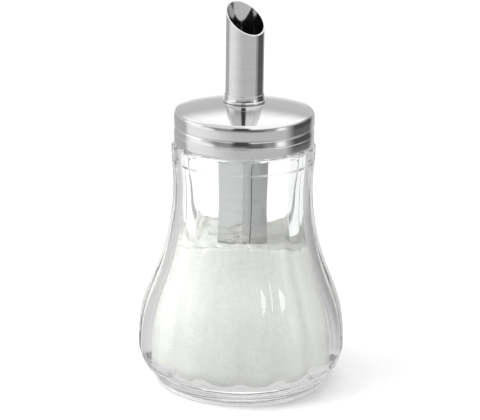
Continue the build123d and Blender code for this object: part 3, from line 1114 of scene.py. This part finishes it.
@dataclass
class Studio:
    """A pale floor, a soft surround with panels, two softboxes and the camera."""

    floor_size: float = 6.0
    path_bounces: int = 32
    mirror_bounces: int = 24
    mirrored_share: float = 0.42
    open_glow: float = 1.05
    base_glow: float = 0.80
    floor_glow: float = 0.16
    camera_distance: float = 0.620
    camera_height: float = 0.2718
    camera_side: float = -0.00103
    pitch: float = 18.061
    roll: float = 0.8
    focal_share: float = 1649.8 / 480.0
    patches: tuple = (
        Patch(-98.0, -20.0, 40.0, 30.0, 38.0, 1.36),
        Patch(0.0, 65.0, 181.0, 33.0, 9.0, 1.14),
        Patch(75.0, 76.0, 95.0, 42.0, 12.0, 1.58),
        Patch(-35.0, 47.0, 35.0, 12.0, 9.0, 1.62),
        Patch(20.0, 42.0, 30.0, 9.0, 9.0, 1.78),
        Patch(178.0, 14.0, 58.0, 15.0, 10.0, 0.42),
        Patch(160.0, 8.0, 14.0, 8.0, 7.0, 0.20),
        Patch(184.0, 30.0, 15.0, 24.0, 6.0, 0.10),
        Patch(70.0, -2.0, 30.0, 20.0, 12.0, 0.12),
        Patch(118.0, 6.0, 8.0, 9.0, 6.0, 1.55),
        Patch(-88.0, 18.0, 19.0, 13.0, 5.0, 1.75),
        Patch(-108.0, 1.0, 24.0, 5.0, 6.0, 1.55),
        Patch(-52.0, -12.0, 23.0, 18.0, 5.0, 0.68),
        Patch(-8.0, -8.0, 16.0, 12.0, 8.0, 1.66),
    )
    softboxes: tuple = (
        Softbox("softbox_left", (-0.85, -0.15, 0.85), (0.7, 0.7), 9.0, False),
        Softbox("softbox_right", (0.50, -0.40, 0.42), (0.47, 0.32), 2.3, True),
    )

    def floor(self) -> None:
        """A plain pale floor under the jar; polished metal sees the surround instead."""
        half = self.floor_size / 2.0
        points = np.array([[-half, -half, 0.0], [half, -half, 0.0], [half, half, 0.0], [-half, half, 0.0]])
        piece = mesh_piece("studio_floor", points, [[0, 1, 2, 3]])
        finish = Finish("pale_floor")
        graph, shader = finish.graph, finish.shader
        tone = graph.noise(finish.place, 3.0)
        graph.join(graph.tinted(tone, (0.90, 0.90, 0.90), (0.92, 0.92, 0.92)), shader.inputs["Base Color"])
        shader.inputs["Roughness"].default_value = 0.9
        shader.inputs["Specular IOR Level"].default_value = 0.1
        shader.inputs["Emission Color"].default_value = (1.0, 1.0, 1.0, 1.0)
        shader.inputs["Emission Strength"].default_value = self.floor_glow
        path = graph.node("ShaderNodeLightPath")
        open_way = graph.node("ShaderNodeBsdfTransparent")
        mix = graph.node("ShaderNodeMixShader")
        graph.join(graph.maths("GREATER_THAN", path.outputs["Glossy Depth"], 0.5), mix.inputs[0])
        graph.join(shader.outputs[0], mix.inputs[1])
        graph.join(open_way.outputs[0], mix.inputs[2])
        graph.join(mix.outputs[0], finish.sink.inputs["Surface"])
        piece.data.materials.append(finish.material)
        piece.visible_glossy = False

    def panel_mask(self) -> bpy.types.NodeTree:
        """Group that masks one soft-edged patch of headings and elevations.

        The mask is one inside the patch and eases to nought over the edge, in heading
        and in elevation; headings wrap round at half a turn.
        """
        graph = new_group(
            GroupKind.PANEL_MASK,
            {
                "Heading": 0.0,
                "Elevation": 0.0,
                "Centre": 0.0,
                "Height": 0.0,
                "Half Width": 10.0,
                "Half Height": 10.0,
                "Edge": 5.0,
            },
            {"Mask": "NodeSocketFloat"},
        )
        read = graph.source.outputs
        turned = graph.maths("ADD", graph.maths("SUBTRACT", read["Heading"], read["Centre"]), 540.0)
        away = graph.maths("ABSOLUTE", graph.maths("SUBTRACT", graph.maths("MODULO", turned, 360.0), 180.0))
        rise = graph.maths("ABSOLUTE", graph.maths("SUBTRACT", read["Elevation"], read["Height"]))
        masks = []
        for gap, half in ((away, read["Half Width"]), (rise, read["Half Height"])):
            reach = graph.maths("ADD", half, read["Edge"])
            share = graph.maths("DIVIDE", graph.maths("SUBTRACT", reach, gap), read["Edge"])
            ease = graph.node("ShaderNodeMapRange", interpolation_type="SMOOTHSTEP")
            ease.inputs["From Max"].default_value = 2.0
            graph.join(share, ease.inputs["Value"])
            masks.append(ease.outputs["Result"])
        graph.join(graph.maths("MULTIPLY", masks[0], masks[1]), graph.sink.inputs["Mask"])
        return graph.tree

    def surroundings(self) -> None:
        """The surround: a base glow with each patch laid over it in turn.

        The camera, and rays straight through the glass, see an even backdrop instead;
        rays through the glass that were mirrored on the way see a blend of the two.
        """
        world = bpy.data.worlds.new("studio_surround")
        bpy.context.scene.world = world
        world.use_nodes = True
        graph = Graph(world.node_tree)
        ray = graph.node("ShaderNodeTexCoord").outputs["Generated"]
        split = graph.node("ShaderNodeSeparateXYZ")
        graph.join(ray, split.inputs[0])
        to_degrees = 180.0 / math.pi
        angle = graph.maths("ARCTAN2", split.outputs["X"], split.outputs["Y"])
        heading = graph.maths("MULTIPLY", angle, to_degrees)
        elevation = graph.maths("MULTIPLY", graph.maths("ARCSINE", split.outputs["Z"]), to_degrees)
        tree = self.panel_mask()
        glow = None
        for patch in self.patches:
            made = graph.node("ShaderNodeGroup", node_tree=tree)
            graph.join(heading, made.inputs["Heading"])
            graph.join(elevation, made.inputs["Elevation"])
            made.inputs["Centre"].default_value = patch.heading
            made.inputs["Height"].default_value = patch.elevation
            made.inputs["Half Width"].default_value = patch.half_width
            made.inputs["Half Height"].default_value = patch.half_height
            made.inputs["Edge"].default_value = patch.edge
            mix = graph.node("ShaderNodeMix", data_type="FLOAT")
            graph.join(made.outputs["Mask"], mix.inputs["Factor"])
            if glow is None:
                mix.inputs["A"].default_value = self.base_glow
            else:
                graph.join(glow, mix.inputs["A"])
            mix.inputs["B"].default_value = patch.glow
            glow = mix.outputs["Result"]
        path = graph.node("ShaderNodeLightPath")
        through = graph.node("ShaderNodeMix", data_type="FLOAT")
        unmirrored = graph.maths("LESS_THAN", path.outputs["Glossy Depth"], 0.5)
        share = graph.ranged(unmirrored, self.mirrored_share, 1.0)
        clear = graph.maths("MULTIPLY", path.outputs["Is Transmission Ray"], share)
        seen = graph.maths("MAXIMUM", path.outputs["Is Camera Ray"], clear)
        graph.join(seen, through.inputs["Factor"])
        graph.join(glow, through.inputs["A"])
        through.inputs["B"].default_value = self.open_glow
        shine = graph.node("ShaderNodeBackground")
        graph.join(through.outputs["Result"], shine.inputs["Strength"])
        out = graph.node("ShaderNodeOutputWorld")
        graph.join(shine.outputs[0], out.inputs["Surface"])

    def lights(self) -> None:
        """Softboxes up left and right, both aimed at the jar."""
        aim = Vector((0.0, 0.0, 0.06))
        for box in self.softboxes:
            data = bpy.data.lights.new(box.name, "AREA")
            data.shape = "RECTANGLE"
            data.size, data.size_y = box.size
            data.energy = box.power
            made = bpy.data.objects.new(box.name, data)
            made.location = box.centre
            made.rotation_mode = "QUATERNION"
            made.rotation_quaternion = (aim - Vector(box.centre)).to_track_quat("-Z", "Y")
            made.visible_camera = False
            made.visible_glossy = box.highlights
            bpy.context.scene.collection.objects.link(made)
            if box.highlights:
                lit = bpy.data.collections.new("glass_highlights")
                lit.objects.link(bpy.data.objects[JAR_NAME])
                made.light_linking.receiver_collection = lit

    def camera(self) -> None:
        """The camera in front, a little above, looking slightly down."""
        data = bpy.data.cameras.new("studio_camera")
        data.sensor_width = 36.0
        data.lens = 36.0 * self.focal_share
        data.clip_start = 0.01
        data.clip_end = 50.0
        made = bpy.data.objects.new("studio_camera", data)
        bpy.context.scene.collection.objects.link(made)
        tilt = math.radians(90.0 - self.pitch)
        turn = Matrix.Rotation(tilt, 4, "X") @ Matrix.Rotation(math.radians(self.roll), 4, "Z")
        place = Matrix.Translation((self.camera_side, -self.camera_distance, self.camera_height))
        made.matrix_world = place @ turn
        bpy.context.scene.camera = made

    def build(self) -> None:
        """Sets up the whole studio."""
        self.floor()
        self.surroundings()
        self.lights()
        self.camera()
        paths = bpy.context.scene.cycles
        paths.max_bounces = self.path_bounces
        paths.glossy_bounces = self.mirror_bounces
        paths.transmission_bounces = self.path_bounces
        settings = bpy.context.scene.view_settings
        settings.view_transform = "Standard"
        settings.look = "None"


# ------------------------------------------------------------------ assembly


@dataclass
class SugarDispenser:
    """The whole dispenser: builds each piece, dresses it and sets it on its body."""

    frame: dict
    polish: bpy.types.NodeTree = field(init=False)
    grain: bpy.types.NodeTree = field(init=False)

    def __post_init__(self) -> None:
        """Builds the shared shader groups."""
        self.polish = spun_polish_group()
        self.grain = fine_grain_group()

    def settle(self, piece: bpy.types.Object, finish: Finish, slot: str, body: Body, node: str) -> None:
        """Dresses a new piece, sets it on its body and hides the CAD node it stands for."""
        finish.wear(piece, slot)
        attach(piece, body.value)
        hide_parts(node)
        LOG.info("%s stands for %s on %s", piece.name, node, body.value)

    def build_jar(self) -> None:
        """Builds the glass jar and the sugar in it."""
        jar = FlutedJar()
        self.settle(jar.build(), ClearGlass().make("clear_jar_glass"), "jar_glass", Body.JAR, "glass_jar")
        sugar = SugarFill(jar).build()
        self.settle(sugar, SugarLook().make("white_sugar", self.grain), "sugar", Body.JAR, "sugar_fill")

    def build_cap(self) -> None:
        """Builds the shell, the ferrule and the tube, and dresses the hidden rings."""
        cap = DomedCap()
        shell_look = SteelLook((0.66, 0.66, 0.665), (0.78, 0.78, 0.78), 0.05, 0.03, 700.0, 0.02)
        tube_look = SteelLook((0.62, 0.62, 0.63), (0.76, 0.76, 0.76), 0.09, 0.05, 900.0, 0.02)
        cap_steel = shell_look.make("polished_cap_steel", self.polish)
        self.settle(cap.build(), cap_steel, "cap_steel", Body.CAP, "cap_shell")
        ferrule_steel = shell_look.make("polished_ferrule_steel", self.polish)
        self.settle(FootFerrule(cap).build(), ferrule_steel, "ferrule_steel", Body.CAP, "foot_ferrule")
        tube_steel = tube_look.make("rolled_tube_steel", self.polish)
        self.settle(PouringTube().build(), tube_steel, "tube_steel", Body.CAP, "spout_tube")
        nodes = self.frame["nodes"]
        plain = SteelLook((0.5, 0.5, 0.5), (0.6, 0.6, 0.6), 0.28, 0.1, 500.0, 0.05)
        plain.make("plain_lock_steel", self.polish).wear(nodes["lock_ring"], "lock_steel")
        insert = MouldedLook((0.80, 0.80, 0.78), (0.88, 0.88, 0.86), 0.5)
        insert.make("natural_insert_plastic", self.grain).wear(nodes["thread_insert"], "insert_plastic")
        seal = MouldedLook((0.72, 0.72, 0.69), (0.80, 0.80, 0.77), 0.7)
        seal.make("pale_seal_rubber", self.grain).wear(nodes["seal_ring"], "seal_rubber")

    def build(self) -> None:
        """Builds every piece."""
        self.build_jar()
        self.build_cap()


def main() -> None:
    """Loads the frame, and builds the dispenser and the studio."""
    logging.basicConfig(level=logging.INFO, format="%(message)s")
    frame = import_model()
    SugarDispenser(frame).build()
    Studio().build()
    bpy.context.view_layer.update()


if __name__ == "__main__":
    main()
